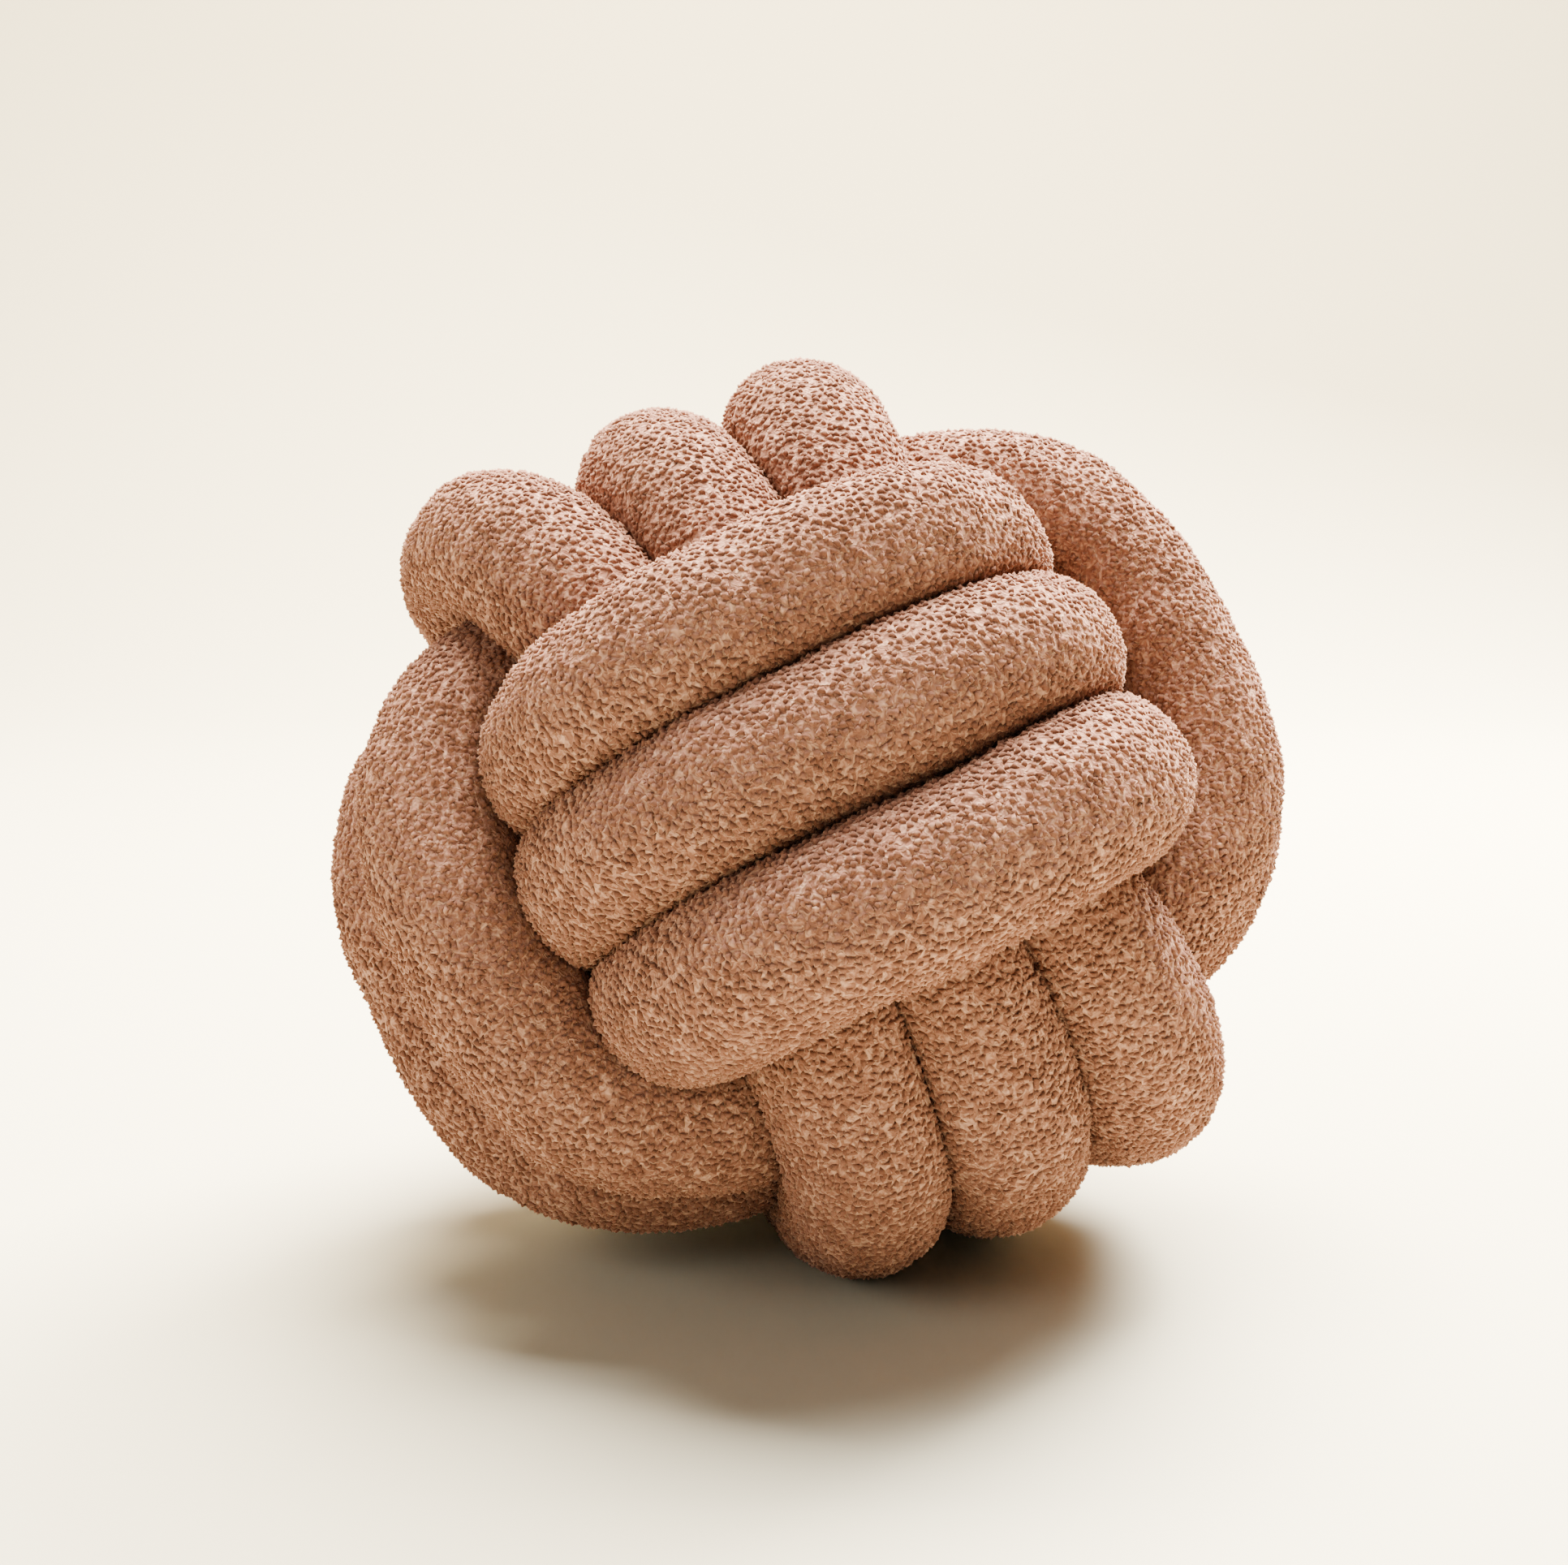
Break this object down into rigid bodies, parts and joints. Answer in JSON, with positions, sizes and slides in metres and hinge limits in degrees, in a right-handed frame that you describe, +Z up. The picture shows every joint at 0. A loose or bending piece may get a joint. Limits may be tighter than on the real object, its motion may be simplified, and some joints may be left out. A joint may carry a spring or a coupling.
{
  "type": "knot cushion",
  "caption": "Ball-shaped knot cushion: one long stuffed curly-fleece tube wound in three crossing bands that lock over and under each other, for decoration or to lean on.",
  "frame": {"origin": "centre of the bounding box's footprint, on the surface that the cushion rests on", "axes": "+Z up; +Y away from the viewer, so the three front strands face -Y; +X to the viewer's right"},
  "size_m": [0.2694, 0.2782, 0.2484],
  "materials": {
    "rose_fleece": "matt curly pile"
  },
  "bodies": {
    "root": {"knot_tube": "rose_fleece"}
  },
  "joints": []
}
